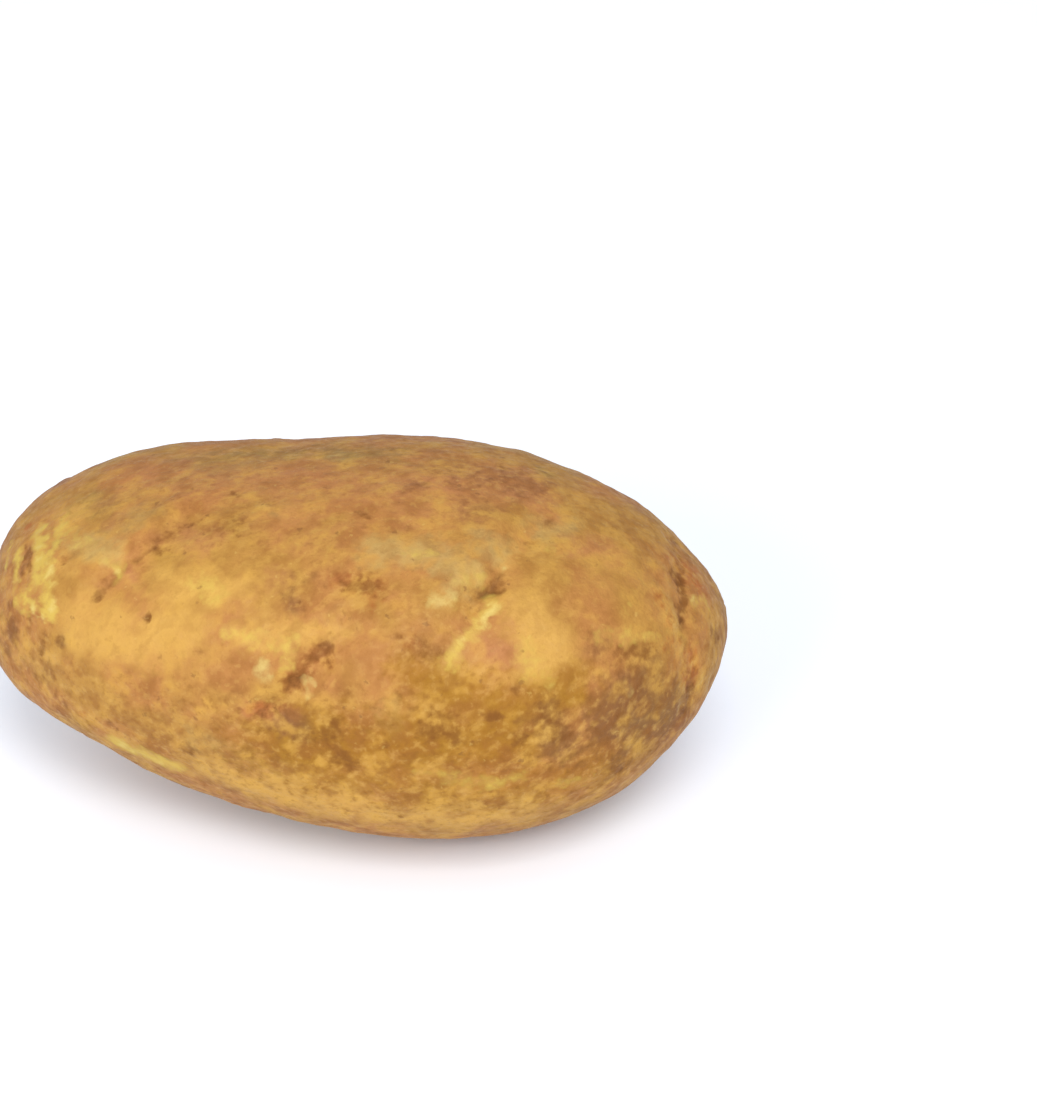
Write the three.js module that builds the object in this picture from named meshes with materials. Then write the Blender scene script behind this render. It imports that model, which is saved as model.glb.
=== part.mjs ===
// A large oval potato tuber, as dug and washed, lying on its side.
// It grew as one piece, so it is one solid: a long rounded body, thicker at one end and curved a little,
// with broad swellings, slanting furrows, the scar where it hung on the plant, and a small flat to rest on.
// Millimetres, +Z up. X runs along the tuber, -Y faces the viewer and the origin is the middle of its base.

import * as THREE from "three";
import { mergeVertices } from "three/addons/utils/BufferGeometryUtils.js";

// The whole tuber
const LENGTH = 126;
const WIDTH = 72;
const HEIGHT = 62;
const RESTING_FLAT_DEPTH = 0.6; // how much of the round underside is worn away where it touches the ground

// How far the body departs from an ellipsoid: a power of 2 is an ellipse, and more is squarer
const OUTLINE_POWER = 2.1;
const SLIM_END_BLUNTING = 0.18; // added to that power at the -X end, and taken from it at the +X end
const SECTION_POWER = 2.15;
const THICK_END_GAIN = 0.05; // the +X half is this share thicker than the mean, and the -X half thinner
const THICKENING_REACH = 0.4; // share of the half length over which it thickens

// How far each end curves away from the viewer and up off the ground
const SLIM_END_BACK = 8;
const SLIM_END_LIFT = 4;
const THICK_END_BACK = 2;
const THICK_END_LIFT = 2.4;

// A place on the skin is [millimetres along X from the middle, degrees round from the front over the top].
// Broad swellings, and hollows where the rise is negative
const SWELLINGS = [
  { at: [-12, 108], reach: 16, rise: -1.0 }, // the long top, slightly dished
  { at: [-26, -26], reach: 17, rise: -1.1 }, // the underside of the slim half, cut away
  { at: [-42, -54], reach: 12, rise: -1.0 },
  { at: [-59, -25], reach: 10, rise: 1.5 }, // the blunt low corner of the slim end
  { at: [60, -70], reach: 14, rise: -2.2 }, // the low corner of the thick end
  { at: [63, 0], reach: 7, rise: -0.4 }, // its blunt tip
  { at: [-8, -90], reach: 15, rise: 0.6 }, // the underside, filled where it rests
  { at: [36, -26], reach: 15, rise: 0.7 },
  { at: [-21, 31], reach: 13, rise: 0.9 }, // the cushions between the furrows
  { at: [9, 34], reach: 11, rise: 0.7 },
  { at: [36, 36], reach: 13, rise: 0.8 },
  { at: [-1, 8], reach: 8, rise: -0.9 }, // the dark hollow under the middle furrow
  { at: [-49, 52], reach: 9, rise: 0.6 },
  { at: [54, 128], reach: 10, rise: -0.7 },
  { at: [-38, 142], reach: 15, rise: 0.7 },
  { at: [4, 174], reach: 17, rise: 1.0 }, // the back
  { at: [-24, 196], reach: 13, rise: -0.9 },
  { at: [40, 190], reach: 13, rise: -0.8 },
  { at: [-42, 232], reach: 12, rise: 0.8 },
  { at: [46, 246], reach: 12, rise: -0.7 },
];

// Furrows with a raised lip on the slim end's side: the three long slanting ones that face the viewer,
// the wrinkle across the thick end, and the eyes of the back and the underside
const FURROWS = [
  { from: [-43, 35], to: [-24, 74], half: 2.9, depth: 1.3, lip: 0.5 },
  { from: [-13, 8], to: [4, 46], half: 2.8, depth: 1.2, lip: 0.4 },
  { from: [17, 35], to: [33, 84], half: 2.9, depth: 1.2, lip: 0.4 },
  { from: [56, -10], to: [51, 116], half: 2.8, depth: 0.8, lip: 0.2 },
  { from: [-50, 126], to: [-44, 158], half: 2.8, depth: 1.0, lip: 0.4 },
  { from: [-13, 130], to: [-5, 160], half: 3.0, depth: 1.3, lip: 0.6 },
  { from: [23, 142], to: [30, 174], half: 2.9, depth: 1.2, lip: 0.5 },
  { from: [45, 168], to: [50, 208], half: 2.8, depth: 1.1, lip: 0.5 },
  { from: [-36, 180], to: [-28, 210], half: 2.9, depth: 1.3, lip: 0.5 },
  { from: [5, 196], to: [13, 226], half: 3.0, depth: 1.3, lip: 0.5 },
  { from: [-54, 214], to: [-48, 258], half: 2.7, depth: 1.0, lip: 0.4 },
  { from: [-26, 236], to: [-19, 264], half: 2.9, depth: 1.1, lip: 0.4 },
  { from: [37, 256], to: [44, 288], half: 2.9, depth: 1.1, lip: 0.4 },
  { from: [-45, 266], to: [-38, 294], half: 2.8, depth: 1.0, lip: 0.4 },
];
const FURROW_STEPS = 8; // straight pieces that follow the skin along each furrow

// The scar at the thick end, where the tuber hung: a dimple with a corky rim
const SCAR = { at: [59.5, 168], rim: 5, half: 2, rise: 0.5, dimple: 3, depth: 1.9 };

// Low lumps all over the skin, placed by a seeded draw
const LUMPS = { seed: 11, count: 90, least: 4.5, most: 8, rise: 0.3 };

// Squares along, across and up: the sides of the cage that is rounded into the tuber
const CELLS = [46, 27, 23];

const SKIN_COLOUR = "#c69550";

// The plain body's surface at a share of the half length, from -1 at the slim tip to 1 at the thick one,
// and an angle round it in radians, from the side that faces the viewer up over the top.
function bodyPoint(along, angle) {
  const power = OUTLINE_POWER - SLIM_END_BLUNTING * along;
  const outline = Math.max(1 - Math.abs(along) ** power, 0) ** (1 / power);
  const across = -Math.cos(angle);
  const up = Math.sin(angle);
  const section = (Math.abs(across) ** SECTION_POWER + Math.abs(up) ** SECTION_POWER) ** (-1 / SECTION_POWER);
  const thick = outline * section * (1 + THICK_END_GAIN * Math.tanh(along / THICKENING_REACH));
  const slimmer = ((1 - along) / 2) ** 2;
  const thicker = ((1 + along) / 2) ** 2;
  return new THREE.Vector3(
    (along * LENGTH) / 2,
    (across * thick * WIDTH) / 2 + SLIM_END_BACK * slimmer + THICK_END_BACK * thicker,
    (up * thick * HEIGHT) / 2 + SLIM_END_LIFT * slimmer + THICK_END_LIFT * thicker,
  );
}

function skinPoint([station, degrees]) {
  return bodyPoint((2 * station) / LENGTH, THREE.MathUtils.degToRad(degrees));
}

const bell = (distance, reach) => Math.exp(-((distance / reach) ** 2));

function swellingsAt(p, swellings) {
  return swellings.reduce((sum, s) => sum + s.rise * bell(p.distanceTo(s.centre), s.reach), 0);
}

// A furrow is deepest halfway along and dies out at its ends, and its lip stands on the -X side.
function furrowAt(p, { line, half, depth, lip }) {
  let nearest = Infinity;
  let share = 0;
  let side = 0;
  const q = new THREE.Vector3();
  line.forEach((piece, i) => {
    const t = piece.closestPointToPointParameter(p, true);
    const distance = piece.at(t, q).distanceTo(p);
    if (distance < nearest) [nearest, share, side] = [distance, (i + t) / line.length, p.x - q.x];
  });
  const strength = Math.sqrt(Math.max(Math.sin(Math.PI * share), 0));
  const outside = side < 0 ? bell(nearest - 2 * half, half) : 0;
  return strength * (lip * outside - depth * bell(nearest, half));
}

function scarAt(p, centre) {
  const distance = p.distanceTo(centre);
  return SCAR.rise * bell(distance - SCAR.rim, SCAR.half) - SCAR.depth * bell(distance, SCAR.dimple);
}

// Numbers from 0 to 1 that are the same in every run.
function seededDraw(seed) {
  let state = seed;
  return () => {
    state = (state * 1664525 + 1013904223) % 4294967296;
    return state / 4294967296;
  };
}

function lumps() {
  const draw = seededDraw(LUMPS.seed);
  return Array.from({ length: LUMPS.count }, () => ({
    centre: bodyPoint(2 * draw() - 1, 2 * Math.PI * draw()),
    reach: THREE.MathUtils.lerp(LUMPS.least, LUMPS.most, draw()),
    rise: LUMPS.rise * (2 * draw() - 1),
  }));
}

// A cube's surface point drawn out to a sphere, with squares of nearly equal size.
function roundedCube(p) {
  const [x, y, z] = [p.x * p.x, p.y * p.y, p.z * p.z];
  return new THREE.Vector3(
    p.x * Math.sqrt(1 - y / 2 - z / 2 + (y * z) / 3),
    p.y * Math.sqrt(1 - z / 2 - x / 2 + (z * x) / 3),
    p.z * Math.sqrt(1 - x / 2 - y / 2 + (x * y) / 3),
  ).normalize();
}

// The plain body, as a closed net of squares that share their corners.
function bodyGeometry() {
  const cage = new THREE.BoxGeometry(2, 2, 2, ...CELLS);
  cage.deleteAttribute("normal");
  cage.deleteAttribute("uv");
  const geometry = mergeVertices(cage, 1e-5);
  const place = geometry.getAttribute("position");
  const p = new THREE.Vector3();
  for (let i = 0; i < place.count; i++) {
    const d = roundedCube(p.fromBufferAttribute(place, i));
    const round = Math.hypot(d.y, d.z);
    const along = d.x * (Math.abs(d.x) ** OUTLINE_POWER + round ** OUTLINE_POWER) ** (-1 / OUTLINE_POWER);
    const q = bodyPoint(along, Math.atan2(d.z, -d.y));
    place.setXYZ(i, q.x, q.y, q.z);
  }
  geometry.computeVertexNormals();
  return geometry;
}

// Moves each point of the body in or out along its normal, by all the relief that reaches it.
function raiseRelief(geometry) {
  const broad = [...SWELLINGS.map((s) => ({ ...s, centre: skinPoint(s.at) })), ...lumps()];
  const furrows = FURROWS.map((furrow) => {
    const from = new THREE.Vector2(...furrow.from);
    const to = new THREE.Vector2(...furrow.to);
    const stops = Array.from({ length: FURROW_STEPS + 1 }, (_, i) =>
      skinPoint(from.clone().lerp(to, i / FURROW_STEPS).toArray()),
    );
    return { ...furrow, line: stops.slice(1).map((stop, i) => new THREE.Line3(stops[i], stop)) };
  });
  const scar = skinPoint(SCAR.at);
  const place = geometry.getAttribute("position");
  const normals = geometry.getAttribute("normal");
  const p = new THREE.Vector3();
  const n = new THREE.Vector3();
  for (let i = 0; i < place.count; i++) {
    p.fromBufferAttribute(place, i);
    const cut = furrows.reduce((sum, furrow) => sum + furrowAt(p, furrow), 0);
    const rise = swellingsAt(p, broad) + cut + scarAt(p, scar);
    p.addScaledVector(n.fromBufferAttribute(normals, i), rise);
    place.setXYZ(i, p.x, p.y, p.z);
  }
}

// Brings the middle of the base to the origin and wears the underside flat there.
function standOnGround(geometry) {
  geometry.computeBoundingBox();
  const { min, max } = geometry.boundingBox;
  geometry.translate(-(min.x + max.x) / 2, -(min.y + max.y) / 2, -min.z - RESTING_FLAT_DEPTH);
  const place = geometry.getAttribute("position");
  for (let i = 0; i < place.count; i++) place.setZ(i, Math.max(place.getZ(i), 0));
}

const tuberGeometry = bodyGeometry();
raiseRelief(tuberGeometry);
standOnGround(tuberGeometry);
tuberGeometry.computeVertexNormals();

const tuber = new THREE.Mesh(
  tuberGeometry,
  new THREE.MeshStandardMaterial({ color: SKIN_COLOUR, roughness: 0.6, metalness: 0 }),
);
tuber.name = "potato";

const potato = new THREE.Group();
potato.add(tuber);

export default potato;
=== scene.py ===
import math

import bmesh
import bpy
import numpy as np
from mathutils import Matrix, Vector, noise
from mathutils.bvhtree import BVHTree


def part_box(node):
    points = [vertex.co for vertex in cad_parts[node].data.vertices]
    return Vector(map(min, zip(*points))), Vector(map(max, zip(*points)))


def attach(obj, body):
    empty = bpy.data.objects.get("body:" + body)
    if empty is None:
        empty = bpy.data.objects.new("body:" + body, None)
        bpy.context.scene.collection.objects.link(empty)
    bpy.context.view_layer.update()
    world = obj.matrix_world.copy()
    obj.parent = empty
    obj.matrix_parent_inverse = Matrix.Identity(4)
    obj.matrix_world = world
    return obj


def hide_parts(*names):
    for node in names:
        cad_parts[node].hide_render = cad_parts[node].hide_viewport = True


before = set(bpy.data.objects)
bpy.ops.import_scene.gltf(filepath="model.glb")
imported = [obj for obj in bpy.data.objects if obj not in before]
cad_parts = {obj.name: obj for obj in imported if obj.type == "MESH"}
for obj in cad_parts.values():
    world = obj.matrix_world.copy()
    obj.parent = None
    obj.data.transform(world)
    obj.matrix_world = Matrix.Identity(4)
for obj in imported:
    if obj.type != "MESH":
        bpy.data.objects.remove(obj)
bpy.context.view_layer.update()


# The viewpoint
# A long lens that looks down on the tuber's long side from well above the table and a little to the right.
# It is aimed past the tuber, so the tuber lies low on the left of the picture and its slim tip is cut off.
# Lengths are in metres, but for the lens, which is in mm as lenses are.
MIDDLE = Vector((0, 0, 0.031))
DISTANCE = 0.622
ROUND = math.radians(7)
ABOVE = math.radians(35)
AIM_RIGHT = 0.0278
AIM_UP = 0.0121
LENS = 120
NEAR_LIMIT = 0.01

right = Vector((math.cos(ROUND), math.sin(ROUND), 0))
back = Vector((math.sin(ROUND) * math.cos(ABOVE), -math.cos(ROUND) * math.cos(ABOVE), math.sin(ABOVE)))
up = back.cross(right)
camera = bpy.data.objects.new("viewpoint", bpy.data.cameras.new("viewpoint"))
bpy.context.scene.collection.objects.link(camera)
camera.data.lens = LENS
camera.data.clip_start = NEAR_LIMIT
camera.location = MIDDLE + back * DISTANCE
aim = MIDDLE + right * AIM_RIGHT + up * AIM_UP
camera.rotation_euler = (aim - camera.location).to_track_quat("-Z", "Y").to_euler()
bpy.context.scene.camera = camera


# The tuber's form
# Firm raw flesh that grew as one lump. A fine net of squares is drawn over the plain solid and smoothed, so
# that its flat facets go and its swellings, broad furrows, scar and resting flat stay where they are.
SQUARES_ALONG_EACH_AXIS = (190, 108, 94)  # about half a millimetre a square
FACET_SMOOTHING = 26  # passes, enough to round off facets that are under 3 mm across

plain = bmesh.new()
plain.from_mesh(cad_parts["potato"].data)
bmesh.ops.remove_doubles(plain, verts=plain.verts, dist=1e-6)
solid = BVHTree.FromBMesh(plain)
corners = np.array([v.co for v in plain.verts])


def box_net(cells):
    """The corners, from -1 to 1, and the squares of a closed box cut into so many cells along X, Y and Z."""
    lattice, squares, count = [], [], 0
    for axis in range(3):
        u, v = (axis + 1) % 3, (axis + 2) % 3
        across, along = np.meshgrid(np.arange(cells[u] + 1), np.arange(cells[v] + 1), indexing="ij")
        for end in (0, cells[axis]):
            side = np.empty((across.size, 3), int)
            side[:, axis], side[:, u], side[:, v] = end, across.ravel(), along.ravel()
            n = count + np.arange(across.size).reshape(across.shape)
            ring = [n[:-1, :-1], n[1:, :-1], n[1:, 1:], n[:-1, 1:]]
            if end == 0:
                ring.reverse()
            squares.append(np.stack([r.ravel() for r in ring], 1))
            lattice.append(side)
            count += across.size
    lattice, index = np.unique(np.concatenate(lattice), axis=0, return_inverse=True)
    return 2 * lattice / np.array(cells) - 1, index.reshape(-1)[np.concatenate(squares)]


def drawn_to_ball(box):
    """The corners of a box moved out to a ball, with squares of nearly equal size."""
    square = box**2
    y, z = square[:, [1, 2, 0]], square[:, [2, 0, 1]]
    ball = box * np.sqrt(1 - y / 2 - z / 2 + y * z / 3)
    return ball / np.linalg.norm(ball, axis=1)[:, None]


net, net_squares = box_net(SQUARES_ALONG_EACH_AXIS)
low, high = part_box("potato")
core = (low + high) / 2
outward = drawn_to_ball(net) * np.array((high - low) / 2)
skin_places = np.array([solid.ray_cast(core, Vector(d))[0] for d in outward])

sides = np.concatenate([net_squares[:, [i, (i + 1) % 4]] for i in range(4)])
neighbours = np.bincount(sides[:, 0], minlength=len(net))


def smoothed(values, passes):
    """Values at the net's corners, drawn halfway to the mean of their neighbours in each pass."""
    for _ in range(passes):
        mean = np.stack(
            [np.bincount(sides[:, 0], column[sides[:, 1]], len(net)) for column in values.T], 1
        )
        values = (values + mean / neighbours[:, None]) / 2
    return values


skin_places = smoothed(skin_places, FACET_SMOOTHING)


def outward_normals(places):
    """The direction straight out of the skin at each corner of the net."""
    a, b, c, d = (places[net_squares[:, i]] for i in range(4))
    face = np.cross(c - a, d - b)
    total = np.stack(
        [
            sum(np.bincount(net_squares[:, i], face[:, k], len(net)) for i in range(4))
            for k in range(3)
        ],
        1,
    )
    return total / np.linalg.norm(total, axis=1)[:, None]


normals = outward_normals(skin_places)


# The skin's relief
# Potato skin is a thin cork layer that stretches and cracks as the tuber swells. It has low lumps, seams
# along the bottom of the furrows with a rolled lip beside them, raised breathing pores, pits and scuffs.
MM = 0.001
MOST_ALONG = 61.8  # mm from the middle, just short of where the tuber's ends close
SLICE = 2.5  # mm each way along the tuber, the slice that shows where its middle lies at a station
HALF_WIDTH = 36
HALF_HEIGHT = 31
SLANT = np.array((0.77, 0.3, 0.56))  # the way the furrows run up the side that faces the viewer
MARK_REACH = 2.6  # half widths from a mark's line to where it has faded away


def skin_point(station, degrees):
    """The skin's point so many mm along from the middle and so many degrees from the front over the top."""
    station = min(max(station, -MOST_ALONG), MOST_ALONG)
    near = corners[abs(corners[:, 0] - station * MM) < SLICE * MM]
    middle = (near.min(0) + near.max(0)) / 2
    turn = math.radians(degrees)
    out = Vector((0, -HALF_WIDTH * math.cos(turn), HALF_HEIGHT * math.sin(turn)))
    return np.array(solid.ray_cast(Vector((station * MM, middle[1], middle[2])), out)[0])


def mottle(grain, octaves=3, shift=0, streaky=1):
    """Natural variation of about -1 to 1 in grains of so many mm, drawn out along the slant if streaky."""
    along = skin_places @ SLANT
    points = skin_places + np.outer(along * (1 / streaky - 1), SLANT)
    points = points / (grain * MM) + shift
    return np.array([noise.fractal(p, 1.0, 2.0, octaves) for p in points])


def ragged(amount, grain):
    """The skin's points moved about at random by up to so many mm, which frays the edge of a mark."""
    shifts = [mottle(grain, 3, 17.3 * k + 5) for k in range(3)]
    return skin_places + amount * MM * np.stack(shifts, 1)


def drawn(points, stops, half):
    """How much each point has of a mark along those stops: 1 on its line, fading over so many mm."""
    ends = np.array([skin_point(*stop) for stop in stops])
    half = half * MM
    centre = (ends.min(0) + ends.max(0)) / 2
    reach = np.linalg.norm(ends.max(0) - ends.min(0)) / 2 + MARK_REACH * half
    near = np.flatnonzero(np.linalg.norm(points - centre, axis=1) < reach)
    p = points[near]
    distance = np.full(len(near), np.inf)
    for a, b in zip(ends, ends[1:] if len(ends) > 1 else ends):
        run = b - a
        t = np.clip((p - a) @ run / max(run @ run, 1e-12), 0, 1)
        distance = np.minimum(distance, np.linalg.norm(p - a - t[:, None] * run, axis=1))
    strength = np.zeros(len(points))
    strength[near] = np.exp(-((distance / half) ** 2))
    return strength


# The skin's points as they are moved to fray the edge of a broad mark, or to make a fine one waver
frayed = ragged(2.2, 6) + ragged(1.4, 2.2) - skin_places
wavering = ragged(1.2, 5) + ragged(0.9, 1.8) - skin_places

# Seams at the bottom of the furrows, each as its stops and how deep it is in mm. A seam is a narrow cut in a
# wider dip, and it is broken here and there. Its lip stands a little way off, on the slim end's side.
CUT_HALF_WIDTH = 0.9
DIP_HALF_WIDTH = 2.0
LIP_HALF_WIDTH = 1.9
SEAMS = [
    ([(-40, 42), (-37, 50), (-31, 62), (-25, 73)], 0.4),
    ([(-12.5, 7), (-7, 20), (-3, 30), (-1, 35)], 0.6),
    ([(21.5, 47), (23, 52), (24.6, 55), (26, 59)], 0.6),
    ([(29, 68), (33, 82)], 0.15),
    ([(56.8, -6), (56.9, 21), (55.4, 55), (54.2, 80), (53, 110)], 0.55),
    ([(-49, 128), (-46, 142), (-44, 156)], 0.6),
    ([(-12, 132), (-8, 146), (-5, 158)], 0.7),
    ([(24, 144), (27, 158), (30, 172)], 0.6),
    ([(46, 172), (49, 205)], 0.5),
    ([(-35, 182), (-32, 195), (-28, 208)], 0.7),
    ([(6, 198), (9, 210), (13, 224)], 0.7),
    ([(-53, 218), (-49, 255)], 0.5),
    ([(-25, 238), (-20, 262)], 0.5),
    ([(38, 258), (43, 286)], 0.5),
    ([(-44, 268), (-39, 292)], 0.5),
]
seam = np.zeros(len(skin_places))
lip = np.zeros(len(skin_places))
breaks = np.clip(0.75 + 1.1 * mottle(3.5, 2, 40), 0.15, 1.25)
for stops, depth in SEAMS:
    cut = drawn(wavering, stops, CUT_HALF_WIDTH)
    seam += depth * (0.3 * cut + 0.6 * drawn(wavering, stops, DIP_HALF_WIDTH))
    beside = [(station - 3.2, degrees + 5) for station, degrees in stops]
    lip += 0.5 * depth * drawn(wavering, beside, LIP_HALF_WIDTH)

# Small round features: each a place, a radius in mm and how far it stands out, or in if negative
DOTS = [
    ((-13, 75.9), 1.3, 0.45),
    ((-31.1, 36.4), 0.8, -0.5),
    ((-45.9, 56), 0.7, -0.4),
    ((1.6, 42), 0.6, -0.4),
    ((1.4, 50), 0.6, -0.35),
    ((-29, 26.3), 0.6, -0.3),
    ((-22.4, 29.4), 0.6, -0.3),
    ((29.4, 25.3), 0.8, -0.4),
    ((45.7, -19.7), 0.8, -0.4),
    ((40.8, 8.5), 0.6, -0.3),
    ((-6, 46.5), 0.6, -0.3),
    ((56, 65), 1.2, 0.35),
    ((-46.5, 22), 0.7, -0.35),
    ((17.3, 48.7), 1.1, 0.25),
]
dots = np.zeros(len(skin_places))
for place, radius, rise in DOTS:
    dots += rise * drawn(wavering, [place], radius)

# Breathing pores all over: short low welts that lie mostly across the tuber's length
PORE_COUNT = 420
PORE_HALF_WIDTH = 0.5
PORES_END = 61  # mm from the middle
draw = np.random.default_rng(5)


def random_place(most_along, first=0, span=360):
    """A place at most so many mm from the middle, and in a span of so many degrees from the first."""
    station = most_along * math.sin(math.pi * (draw.random() - 0.5))
    return station, first + span * draw.random()


pores = np.zeros(len(skin_places))
for _ in range(PORE_COUNT):
    station, degrees = random_place(PORES_END)
    length = 0.3 + 0.8 * draw.random()
    stops = [(station, degrees), (station + 0.4 * length, degrees + 1.6 * length)]
    pores = np.maximum(pores, (0.4 + 0.5 * draw.random()) * drawn(wavering, stops, PORE_HALF_WIDTH))

# The scar at the thick end, where the tuber hung: a corky dimple with cracks that run out from its middle
SCAR = (59.5, 168)
SCAR_RADIUS = 5
SCAR_ACROSS = np.array((-0.53, 0.85, 0))  # a level direction in the scar's own plane
CRACK_COUNT = 7
from_scar = skin_places - skin_point(*SCAR)
scar_distance = np.linalg.norm(from_scar, axis=1) / MM
scar_turn = np.arctan2(from_scar[:, 2], from_scar @ SCAR_ACROSS)
cork = np.exp(-((scar_distance / SCAR_RADIUS) ** 4))
cracks = cork * np.clip(np.sin(CRACK_COUNT * scar_turn + 2.5 * mottle(3, 2, 90)), 0, 1) ** 3

# All of it in mm: lumps from broad to fine, and then what is cut into them or stands out of them
relief = (
    0.26 * mottle(11, 2)
    + 0.14 * mottle(4.5, 2, 7, 1.8)
    + 0.07 * mottle(1.8, 3, 30, 1.6)
    - breaks * seam
    + lip
    + dots
    + 0.10 * pores
    - 0.45 * cracks
    + 0.25 * cork * mottle(1.6, 2, 60)
)
skin_places = skin_places + relief[:, None] * MM * normals
skin_places[:, 2] = np.maximum(skin_places[:, 2], 0)

mesh = bpy.data.meshes.new("tuber_skin")
mesh.from_pydata(skin_places.tolist(), [], net_squares.tolist())
mesh.shade_smooth()
tuber = bpy.data.objects.new("tuber_skin", mesh)
bpy.context.scene.collection.objects.link(tuber)
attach(tuber, "root")
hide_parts("potato")


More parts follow.
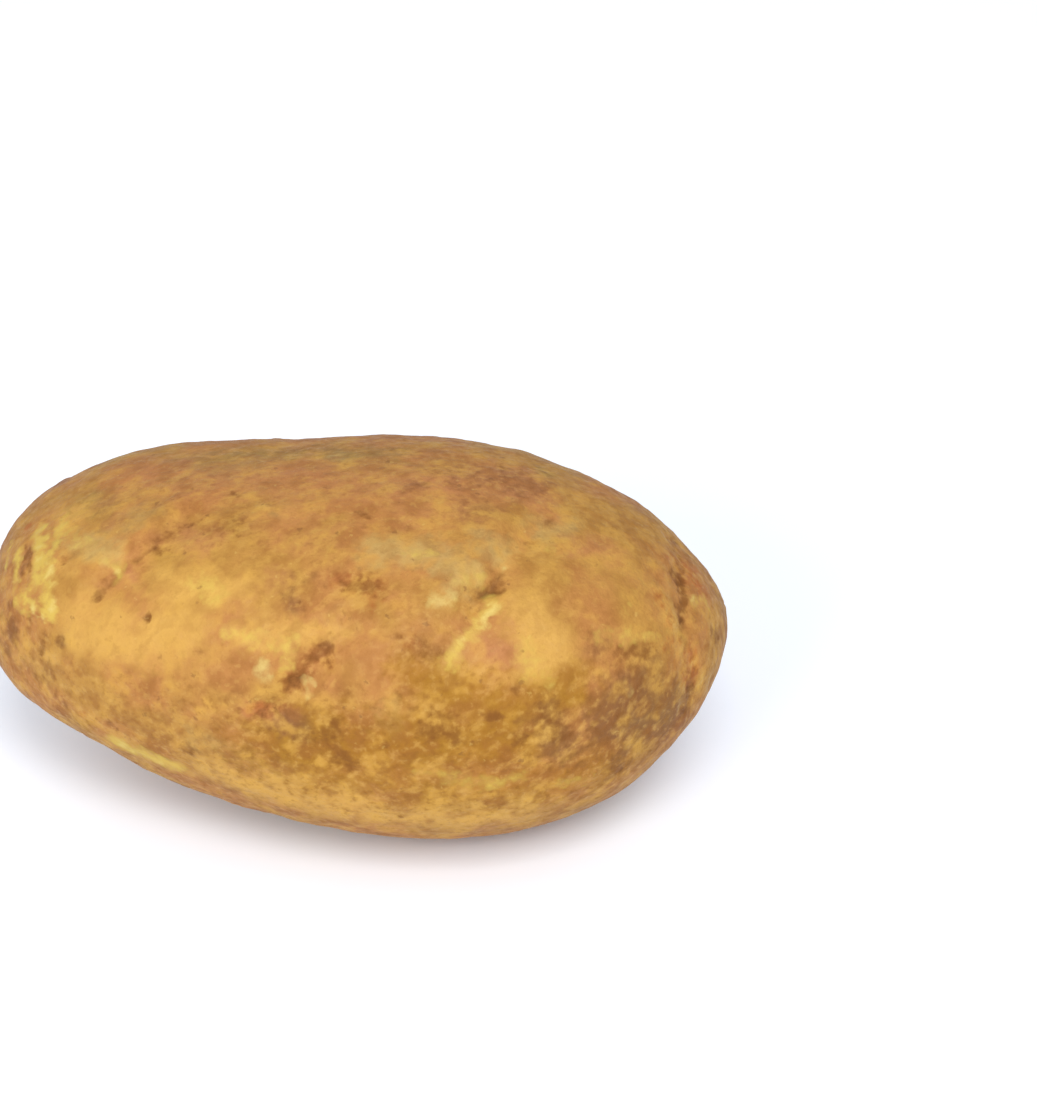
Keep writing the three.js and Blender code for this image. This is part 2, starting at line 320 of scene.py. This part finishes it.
# The marks on the skin
# The skin grew in soil and was washed. It keeps earth in the seams, is rubbed through to a yellow under
# layer in places, and has rosy, brown and dusky patches. Some layers also hold painted light and shade: the
# golden marks paint highlight on the cushions and the thick end, the dusky marks on top paint shade there,
# and the soiled dips paint shade along the furrows. Each kind is a layer that the material reads, and
# each mark is given as its stops, its half width in mm and its strength.
FRONT_MARKS = {
    # Golden marks: partly yellow skin, partly painted highlight that makes the cushions and the thick end
    # look lit
    "golden_and_painted_highlight": [
        ([(-42, 31), (-33, 29), (-25, 34)], 6, 1.1),
        ([(-30, 49), (-24, 48), (-18, 48)], 4, 1.1),
        ([(-14, 35), (-5, 38), (0, 39)], 3.2, 1.0),
        ([(-47, 52), (-42, 56), (-37, 57)], 3, 0.9),
        ([(-13, 77)], 1.3, 1.2),
        ([(29, 49), (33, 41), (35, 33)], 5, 1.0),
        ([(27, 62), (28, 68)], 3, 0.8),
        ([(32, 69)], 2.5, 1.0),
        ([(40, 66), (46, 70)], 5, 0.4),
        ([(52, 62), (53, 50), (54, 40)], 3, 1.0),
        ([(57, 64), (59, 72)], 2.2, 0.5),
        ([(-48, 84), (-46, 76)], 4, 0.9),
        ([(-48, 9), (-54, 1)], 2.6, 0.9),
        ([(-20, -18), (2, -21), (14, -23), (30, -24)], 5.5, 1.1),
        ([(-8, 74)], 5, 0.6),
        ([(42, 64)], 5, 0.6),
    ],
    "smooth": [
        ([(-42, 36), (-33, 33), (-22, 38)], 8, 1.0),
        ([(-24, 52), (-18, 50)], 6, 0.8),
        ([(3, 26), (7, 28)], 6, 0.8),
        ([(30, 50), (34, 40), (35, 30)], 7, 0.6),
        ([(44, 60), (50, 50)], 8, 0.6),
    ],
    "khaki": [
        ([(6, 62), (13, 62), (21, 57)], 4, 1.0),
        ([(23, 67), (26, 66)], 3.5, 0.9),
        ([(35, 83), (32, 77)], 4, 0.8),
        ([(-3, 103)], 3, 0.9),
        ([(-44, 62), (-39, 58)], 3.5, 0.9),
        ([(-40, 62), (-34, 72)], 4, 0.6),
        ([(9, 16), (9, 11)], 3, 0.8),
        ([(49, 5)], 2, 0.7),
        ([(-22, -3), (-10, -6)], 4, 0.6),
    ],
    "blush": [
        ([(-35, 92), (-17, 90), (0, 88)], 9, 0.8),
        ([(8, 86), (28, 93)], 8, 0.9),
        ([(-29, 101)], 3, 0.9),
        ([(-35, 50)], 1.8, 1.1),
        ([(-12, 72), (-2, 66)], 7, 0.6),
        ([(10, 74), (15, 76)], 5, 0.7),
        ([(-27, 65), (-22, 62)], 4, 0.9),
        ([(-12, 14), (-8, 10)], 3, 1.0),
        ([(24, 37), (28, 34)], 3, 0.9),
        ([(42, 24)], 2.2, 0.7),
        ([(-10, 53)], 4, 0.6),
        ([(-9, 36)], 3, 0.5),
        ([(-37, 72)], 4, 0.6),
        ([(19, 78)], 5, 0.8),
        ([(38, 74), (42, 76)], 4, 0.8),
        ([(48, 66)], 6, 0.5),
    ],
    "rust": [
        ([(52, 62), (52, 52), (53, 36)], 2.6, 0.55),
        ([(57, 30), (57, 10)], 2.2, 1.2),
        ([(55, 92), (56, 80)], 2.5, 0.9),
        ([(58, 84), (58, 78)], 1.6, 1.0),
        ([(2, 52), (6, 50)], 3, 0.8),
        ([(-11, 15)], 2.6, 0.9),
        ([(-55, 80)], 1.6, 1.0),
        ([(-43, -13)], 1.2, 1.0),
        ([(13, 36)], 3, 0.6),
        ([(-2, 32), (-7, 22)], 2.4, 0.7),
    ],
    "mossy": [
        ([(-30, 104), (-4, 106), (6, 104)], 5, 0.7),
        ([(31, 108)], 3, 0.8),
        ([(-25, 96), (-18, 97)], 3, 0.9),
        ([(-44, 84), (-40, 80)], 5, 0.6),
        ([(-49, 64)], 1.5, 1.0),
        ([(-11, 74)], 1.2, 1.0),
    ],
    "ochre": [
        ([(-14, -2), (10, -8), (30, -11), (46, -12)], 8, 0.8),
        ([(-8, 4), (2, 4), (16, 8), (28, 8)], 8, 1.1),
        ([(14, 28), (24, 22), (32, 20), (39, 24)], 5, 1.0),
        ([(-44, -18)], 4, 0.7),
    ],
    # Dusky marks: partly dark skin, while the broad ones on the top are painted shade that darkens the upper
    # side
    "dusky_and_painted_shade": [
        ([(45, 8), (48, 16), (49, 8), (52, -2)], 6.5, 1.45),
        ([(18, 94), (30, 97)], 5.5, 0.6),
        ([(21, 77)], 5, 0.6),
        ([(42, 39)], 4, 0.7),
        ([(14, 95)], 4, 0.4),
        ([(-15, 17)], 4, 0.45),
        ([(-9, 52), (4, 53)], 4.5, 0.4),
        ([(-2, 19), (11, 21)], 4.5, 0.35),
        ([(-31, 71)], 4, 0.35),
        ([(-9, 36)], 3, 0.4),
        ([(55, -12), (47, -8)], 5, 0.9),
        ([(34, 17), (35, 10), (38, 0)], 4, 0.9),
        ([(-9, 9), (-5, 7)], 3, 1.1),
        ([(-7, 46)], 2.2, 1.0),
        ([(10, 85)], 3, 0.7),
        ([(-57, 19), (-57, 6)], 3, 1.0),
        ([(-52, 2), (-47, -6)], 3.5, 0.6),
        ([(-46, 20)], 1.4, 0.8),
    ],
    "brown": [
        ([(0, 9), (-1, 4)], 2.5, 1.1),
        ([(0, -1), (3, -4)], 2.2, 0.9),
        ([(16, 14), (20, 11)], 2.8, 1.1),
        ([(20, 9)], 1.2, 1.2),
        ([(11, 38)], 1.3, 0.9),
        ([(14, 36), (15, 33)], 2.2, 0.8),
        ([(9, 5)], 1.3, 0.9),
        ([(24, 17), (27, 16)], 1.0, 1.1),
        ([(30, 8)], 1.4, 1.0),
        ([(45, 37), (50, 35)], 1.4, 1.1),
        ([(48, 28), (47, 31)], 1.6, 1.0),
        ([(42, 8)], 0.9, 1.0),
        ([(46, -20)], 1.3, 1.1),
        ([(60, 44), (61, 28)], 1.4, 0.9),
        ([(54.6, 80), (55.2, 66), (55.3, 54)], 1.2, 1.8),
        ([(34.5, 17), (36, 10)], 2.2, 0.9),
        ([(3, 51), (6, 50)], 2.0, 1.3),
        ([(-1, 34), (-4, 28), (-7, 23)], 1.7, 1.0),
        ([(24.6, 55)], 2.0, 1.6),
        ([(29.8, 70)], 0.8, 1.1),
        ([(32.6, 81)], 1.2, 0.9),
        ([(22, 47)], 1.2, 0.8),
        ([(-31, 61), (-28, 67)], 1.7, 0.8),
        ([(-39.5, 44), (-37.5, 48)], 1.6, 0.9),
        ([(-31.1, 36.4)], 1.0, 1.3),
        ([(45, 8), (49, 14)], 3, 0.6),
        ([(11, 71)], 1.4, 0.8),
        ([(7, 70)], 1.2, 0.6),
        ([(3, 74)], 1.2, 0.6),
        ([(25, 102)], 1.4, 0.9),
        ([(31, 108)], 1.2, 0.9),
        ([(-19, 83)], 1.3, 1.0),
        ([(-23, 88)], 1.0, 0.8),
        ([(-20, 66), (-17, 70)], 3, 0.5),
        ([(-24, -10)], 1.4, 1.0),
        ([(-29, -19)], 1.1, 1.0),
        ([(-38, -11)], 1.4, 0.8),
        ([(-17, -13)], 1.1, 0.8),
        ([(-52, 27)], 1.5, 1.1),
        ([(-50, 17), (-50, 9)], 1.1, 1.1),
        ([(-49, 23)], 1.3, 1.0),
        ([(-54, 66), (-53, 50)], 0.9, 1.2),
        ([(-46, 58)], 1.2, 0.9),
    ],
    "flaked": [
        ([(-48, 74), (-49, 62)], 1.5, 1.3),
        ([(-52, 74), (-51.5, 58), (-51, 45)], 1.4, 1.6),
        ([(-50, 56), (-49, 42), (-48, 34)], 1.7, 1.5),
        ([(-56, 64), (-55, 48)], 1.2, 1.4),
        ([(-58, 74), (-58, 56)], 1.0, 1.2),
        ([(-53, 40), (-49.5, 31)], 1.3, 1.3),
        ([(-55, 40), (-53, 30)], 1.1, 1.0),
        ([(-46, 68), (-43, 62)], 2.4, 0.7),
        ([(-39, 54), (-37, 50)], 1.5, 0.8),
        ([(-22, 47), (-20, 45)], 2.2, 0.8),
        ([(20, 54), (22, 58)], 2.0, 0.8),
        ([(11, 61), (14, 62)], 1.8, 0.8),
        ([(-7, 34), (-7, 30)], 1.8, 1.0),
        ([(-17, 36), (-10, 35)], 1.8, 0.9),
        ([(-24, 50), (-19, 48)], 2.0, 0.8),
        ([(18.5, 32), (20.9, 39), (23.6, 44), (24.8, 51)], 1.7, 1.25),
        ([(19, 47)], 1.6, 0.7),
        ([(32.5, 69)], 1.8, 0.5),
        ([(42, 41), (47, 42), (51, 41)], 1.5, 0.8),
        ([(46, 52)], 1.0, 0.6),
        ([(30, 36), (34, 27)], 2.6, 0.6),
        ([(15, -3), (23, -7), (30, -6)], 1.9, 0.7),
        ([(37, -14), (41, -16)], 1.5, 0.6),
        ([(-38, -21), (-33, -22), (-27, -23)], 2.2, 1.4),
        ([(56.3, 66), (59, 71)], 1.1, 0.8),
    ],
    "cream": [
        ([(-49.3, 51), (-48, 41), (-47.5, 36)], 0.8, 1.2),
        ([(-51.5, 66), (-51.5, 55)], 0.7, 0.9),
        ([(-51, 33), (-50, 27)], 0.8, 1.0),
        ([(-38, 51)], 1.2, 0.6),
        ([(16.5, 48), (18, 48)], 2.0, 0.95),
        ([(24.3, 44), (24.8, 50)], 1.1, 1.0),
        ([(20.9, 39)], 1.2, 0.9),
        ([(26.9, 61)], 0.9, 1.0),
        ([(-11, 26)], 2.0, 0.95),
        ([(-4, 24), (-4, 20)], 1.0, 0.8),
        ([(56, 66), (57, 68)], 0.9, 0.8),
        ([(47, 20)], 1.2, 0.7),
        ([(-36, -22), (-30, -25)], 1.1, 0.7),
    ],
}

# The sides that the viewer doesn't see have the same kinds of mark, here with how many of each kind there
# are, their mean half width in mm and their strength
HIDDEN_FROM = 122  # degrees from the front over the top
HIDDEN_SPAN = 186
HIDDEN_MARKS_END = 58  # mm from the middle
WIDEST_WAVERING = 2.4  # the half width up to which a mark wavers, where a broader one is frayed
HIDDEN_MARKS = {
    "golden_and_painted_highlight": (10, 5.5, 0.9),
    "smooth": (5, 8, 0.9),
    "khaki": (8, 4, 0.8),
    "blush": (9, 6, 0.8),
    "rust": (9, 2.5, 0.9),
    "mossy": (6, 4, 0.8),
    "ochre": (5, 9, 0.8),
    "dusky_and_painted_shade": (9, 4, 0.9),
    "brown": (34, 1.8, 1.0),
    "flaked": (18, 2.0, 1.0),
    "cream": (14, 1.1, 1.0),
}
marks = {}
for kind, (count, half, strength) in HIDDEN_MARKS.items():
    layer = np.zeros(len(skin_places))
    for stops, width, amount in FRONT_MARKS[kind]:
        points = frayed if width > WIDEST_WAVERING else wavering
        layer = np.maximum(layer, amount * drawn(points, stops, width))
    for _ in range(count):
        station, degrees = random_place(HIDDEN_MARKS_END, HIDDEN_FROM, HIDDEN_SPAN)
        far_end = (station + 2 * half * draw.random(), degrees + 4 * half * draw.random())
        amount = strength * (0.7 + 0.4 * draw.random())
        width = half * (0.7 + 0.6 * draw.random())
        layer = np.maximum(layer, amount * drawn(frayed, [(station, degrees), far_end], width))
    marks[kind] = layer

# Earth is left at the bottom of the seams and in the scar's cracks. The dips are darkened brown as painted
# shade of the furrows' valleys, partly earth too, and the pits are soiled
EARTH_HALF_WIDTH = 1.0
earth = np.zeros(len(skin_places))
soiled_and_painted_shade = np.zeros(len(skin_places))
# Painted shade: the soiled layer darkens each furrow's dip so that it reads as a shaded valley, along with
# earth
for stops, depth in SEAMS:
    earth = np.maximum(earth, 1.35 * depth * drawn(wavering, stops, EARTH_HALF_WIDTH))
    soiled_and_painted_shade = np.maximum(soiled_and_painted_shade, 1.5 * depth * drawn(wavering, stops, DIP_HALF_WIDTH))
for place, radius, rise in DOTS:
    if rise < 0:
        soiled_and_painted_shade = np.maximum(soiled_and_painted_shade, 1.4 * drawn(wavering, [place], radius * 1.2))
marks["soiled_and_painted_shade"] = soiled_and_painted_shade
marks["earth"] = np.maximum(earth * breaks, 0.8 * cracks)

# The scar is corky and dark in the middle, inside a paler ring of torn skin. All are in mm from its middle
DARK_RADIUS = 1.4
CORK_RADIUS = 3.7
RING_RADIUS = 4.6
RING_HALF_WIDTH = 1.3
torn_ring = np.exp(-(((scar_distance - RING_RADIUS) / RING_HALF_WIDTH) ** 2))
marks["flaked"] = np.maximum(marks["flaked"], 0.7 * torn_ring * (0.8 + 0.5 * mottle(3, 2, 90)))
marks["earth"] = np.maximum(marks["earth"], 1.3 * np.exp(-((scar_distance / DARK_RADIUS) ** 2)))
marks["cork"] = np.exp(-((scar_distance / CORK_RADIUS) ** 3))
marks["pore"] = pores

# The grain is coarse low down, where the tuber lay in damp soil, and faint on top and on smooth cushions
marks["coarse"] = np.clip(0.85 - 0.4 * normals[:, 2], 0.6, 0.85) * (1 - 0.45 * marks.pop("smooth"))
for kind, layer in marks.items():
    tuber.data.attributes.new(kind, "FLOAT", "POINT").data.foreach_set("value", layer.astype(np.float32))


# The skin's material
# Potato cork skin, grown and washed. Layers of dead cork cells make it cloudy and semi-matte: a broad soft
# shine on the cushions, a warm tan with yellow and brown mottling, and almost no shine where earth is left.
CORK_IOR = 1.45
CORK_SHINE = 0.2
SLANT_TURN = (0, -0.594, 0.379)  # turns the X axis into the slant
STREAK_STRETCH = 2.2


def colour(hex_code):
    """An sRGB hex value as the linear colour that a shader takes."""
    parts = [int(hex_code[i : i + 2], 16) / 255 for i in (1, 3, 5)]
    return [c / 12.92 if c <= 0.04045 else ((c + 0.055) / 1.055) ** 2.4 for c in parts] + [1]


def add(tree, kind, inputs, **settings):
    """Adds a shader node with its settings. An input that is another node's output is linked to it."""
    made = tree.nodes.new(kind)
    for name, value in settings.items():
        setattr(made, name, value)
    for name, value in inputs.items():
        if isinstance(value, bpy.types.NodeSocket):
            tree.links.new(value, made.inputs[name])
        else:
            made.inputs[name].default_value = value
    return made


cork_skin = bpy.data.materials.new("washed_potato_skin")
cork_skin.use_nodes = True
tree = cork_skin.node_tree
tree.nodes.clear()
position = add(tree, "ShaderNodeTexCoord", {}).outputs["Object"]
inputs = {"Vector": position, "Rotation": SLANT_TURN, "Scale": (STREAK_STRETCH, 1, 1)}
slanted = add(tree, "ShaderNodeMapping", inputs, vector_type="TEXTURE").outputs[0]


def grains(mm, detail=3, roughness=0.5, points=position):
    """Noise whose grains are so many mm across, as a number about 0.5."""
    inputs = {"Vector": points,"Scale": 1 / (mm * MM), "Detail": detail, "Roughness": roughness}
    return add(tree, "ShaderNodeTexNoise", inputs).outputs[0]


def steep(value, low, high, top=1.0):
    """Nothing at low, top at high, and a soft step between."""
    inputs = {"Value": value, "From Min": low, "From Max": high, "To Max": top}
    return add(tree, "ShaderNodeMapRange", inputs, interpolation_type="SMOOTHSTEP").outputs[0]


def over(below, hex_code, cover):
    """That colour laid over what is below, where cover says."""
    inputs = {0: cover, 6: below, 7: colour(hex_code)}
    return add(tree, "ShaderNodeMix", inputs, data_type="RGBA").outputs[2]


def scaled_sum(value, factor, added):
    """The value times the factor, and what is added to it."""
    inputs = {0: value, 1: factor, 2: added}
    return add(tree, "ShaderNodeMath", inputs, operation="MULTIPLY_ADD").outputs[0]


def strength_of(kind):
    """The layer of the marks of that kind."""
    return add(tree, "ShaderNodeAttribute", {}, attribute_name=kind).outputs["Fac"]


broad = grains(12, 2, 0.55)
middling = grains(4.2, 2)
streaks = grains(2.4, points=slanted)
fine = grains(1.3)
dust = grains(0.6, 2)
breaking = scaled_sum(fine, 0.5, scaled_sum(streaks, 0.5, -0.5))  # about 0, added to a mark's strength


def cover_of(kind, start, full, most, broken):
    """How much a kind of mark covers, from none at start to its most at full, broken up by the grain."""
    strength = strength_of(kind)
    patchy = scaled_sum(breaking, 2 * broken, strength)
    only_near = steep(strength, 0.02, 0.4)
    held = add(tree, "ShaderNodeMath", {0: patchy, 1: only_near}, operation="MULTIPLY")
    return steep(held.outputs[0], start, full, most)


# Colours of the skin, where the golden marks also paint highlight on the cushions and the thick end and the
# dusky marks paint shade on the top: each kind with its colour, the strengths at which it begins and is
# full, its most cover, and how much the grain breaks it up
SKIN_COLOUR = "#a67936"
ROSY_SKIN_COLOUR = "#a46f38"
GROWN_AND_PAINTED_LIGHT = [
    ("golden_and_painted_highlight", "#c09346", 0.1, 1.2, 0.85, 0.9),
    ("khaki", "#ad8f52", 0.1, 1.1, 0.75, 0.9),
    ("ochre", "#8c5e0a", 0.1, 1.2, 0.8, 0.9),
    ("mossy", "#776534", 0.1, 1.1, 0.6, 0.8),
    ("blush", "#aa7044", 0.1, 1.1, 0.7, 0.7),
    ("rust", "#a05926", 0.1, 1.2, 0.8, 1.2),
    ("dusky_and_painted_shade", "#6b4526", 0.1, 1.2, 0.75, 0.9),
]
tint = over(colour(SKIN_COLOUR), ROSY_SKIN_COLOUR, steep(broad, 0.38, 0.62))
for kind, hex_code, *amounts in GROWN_AND_PAINTED_LIGHT:
    tint = over(tint, hex_code, cover_of(kind, *amounts))

# The grain of the cork, from patches down to dust: each noise with a darker or a paler colour, the values at
# which that begins and is full, and its most cover
GRAIN = [
    (middling, "#84511f", 0.48, 0.7, 0.72),
    (middling, "#c0923e", 0.5, 0.3, 0.65),
    (streaks, "#80501e", 0.53, 0.7, 0.5),
    (streaks, "#c39746", 0.46, 0.3, 0.4),
    (fine, "#76481a", 0.52, 0.74, 0.45),
    (fine, "#c79e50", 0.47, 0.28, 0.28),
    (dust, "#73481e", 0.56, 0.74, 0.25),
]
grained = tint
for grain, hex_code, *amounts in GRAIN:
    grained = over(grained, hex_code, steep(grain, *amounts))
inputs = {0: strength_of("coarse"), 6: tint, 7: grained}
tint = add(tree, "ShaderNodeMix", inputs, data_type="RGBA").outputs[2]

# What lies on the skin or shows where it is rubbed through, in the same columns as what grew in it. The
# soiled dips are partly earth and partly painted shade along the furrows.
WORN_AND_PAINTED_SHADE = [
    ("brown", "#6f4214", 0.1, 1.3, 0.7, 1.6),
    ("soiled_and_painted_shade", "#6e4216", 0.2, 1.4, 0.6, 1.4),
    ("flaked", "#c2a44a", 0.1, 1.6, 0.85, 1.5),
    ("cream", "#cab268", 0.1, 1.6, 0.8, 1.4),
    ("cork", "#77552f", 0.2, 1.2, 0.7, 1.0),
    ("earth", "#5c3a1a", 0.35, 1.5, 0.65, 1.8),
]
covers = {}
for kind, hex_code, *amounts in WORN_AND_PAINTED_SHADE:
    covers[kind] = cover_of(kind, *amounts)
    tint = over(tint, hex_code, covers[kind])

# Breathing pores, and ragged specks of earth and of bare under layer up to a millimetre across. Each kind of
# speck has the mm from one to the next, its colour, its largest radius as a share of that, and its cover
PORE_COLOUR = "#74491e"
RAGGED_GRAIN = 0.8
RAGGED_BY = 1.4
SPECKLESS = 0.55  # share of the places for a speck that have none
SPECKS = [
    (3.1, "#6b4521", 0.16, 0.45),
    (2.3, "#d0b060", 0.15, 0.2),
]
tint = over(tint, PORE_COLOUR, steep(strength_of("pore"), 0.3, 0.95, 0.4))
inputs = {"Vector": position, "Scale": 1 / (RAGGED_GRAIN * MM)}
sway = add(tree, "ShaderNodeTexNoise", inputs).outputs["Color"]
inputs = {0: sway, 1: [RAGGED_BY * MM] * 3, 2: position}
swayed = add(tree, "ShaderNodeVectorMath", inputs, operation="MULTIPLY_ADD").outputs[0]
for spacing, hex_code, radius, cover in SPECKS:
    cells = add(tree, "ShaderNodeTexVoronoi", {"Vector": swayed, "Scale": 1 / (spacing * MM)})
    chance = add(tree, "ShaderNodeSeparateColor", {0: cells.outputs["Color"]}).outputs[0]
    inputs = {"Value": chance, "From Min": SPECKLESS, "To Max": radius}
    size = add(tree, "ShaderNodeMapRange", inputs).outputs[0]
    inside = add(tree, "ShaderNodeMath", {0: size, 1: cells.outputs["Distance"]}, operation="SUBTRACT")
    tint = over(tint, hex_code, steep(inside.outputs[0], -0.04, 0.06, cover))

# The finest grain stands up a little, and the skin is duller where it does and where earth is left
BUMP_HEIGHT = 0.12
inputs = {"Strength": 0.8, "Distance": BUMP_HEIGHT * MM, "Height": scaled_sum(fine, 1.5, dust)}
bump = add(tree, "ShaderNodeBump", inputs)
inputs = {"Value": fine, "From Min": 0.3, "From Max": 0.7, "To Min": 0.5, "To Max": 0.68}
dull = add(tree, "ShaderNodeMapRange", inputs).outputs[0]
dull = scaled_sum(covers["earth"], 0.25, dull)
inputs = {"Base Color": tint, "Roughness": dull, "IOR": CORK_IOR, "Normal": bump.outputs[0]}
surface = add(tree, "ShaderNodeBsdfPrincipled", inputs)
surface.inputs["Specular IOR Level"].default_value = CORK_SHINE
add(tree, "ShaderNodeOutputMaterial", {"Surface": surface.outputs[0]})
tuber.data.materials.append(cork_skin)


# The table and the light
# A wide white matt board in a white room. A big soft lamp hangs high in front of the tuber and a smaller one
# stands at the front left, so that only a soft grey shadow is left close under it.
floor_mesh = bpy.data.meshes.new("floor")
floor_mesh.from_pydata([(-3, -3, 0), (3, -3, 0), (3, 3, 0), (-3, 3, 0)], [], [(0, 1, 2, 3)])
floor = bpy.data.objects.new("floor", floor_mesh)
bpy.context.scene.collection.objects.link(floor)
board = bpy.data.materials.new("white_matt_board")
board.use_nodes = True
board_surface = board.node_tree.nodes["Principled BSDF"]
board_surface.inputs["Base Color"].default_value = colour("#f1f4f9")
board_surface.inputs["Roughness"].default_value = 0.9
floor_mesh.materials.append(board)


def soft_lamp(name, place, size, power):
    """A square lamp that faces the middle of the tuber."""
    lamp = bpy.data.objects.new(name, bpy.data.lights.new(name, "AREA"))
    bpy.context.scene.collection.objects.link(lamp)
    lamp.data.size = size
    lamp.data.energy = power
    lamp.location = place
    lamp.rotation_euler = (MIDDLE - lamp.location).to_track_quat("-Z", "Y").to_euler()


soft_lamp("overhead_softbox", place=Vector((0.35, -1.15, 1.5)), size=0.8, power=22.7)
soft_lamp("front_softbox", place=Vector((-0.6, -1.25, 0.8)), size=0.6, power=10)
world = bpy.data.worlds.new("white_room")
world.use_nodes = True
world.node_tree.nodes["Background"].inputs["Color"].default_value = colour("#edf2fd")
world.node_tree.nodes["Background"].inputs["Strength"].default_value = 0.8
bpy.context.scene.world = world
bpy.context.scene.view_settings.view_transform = "Standard"
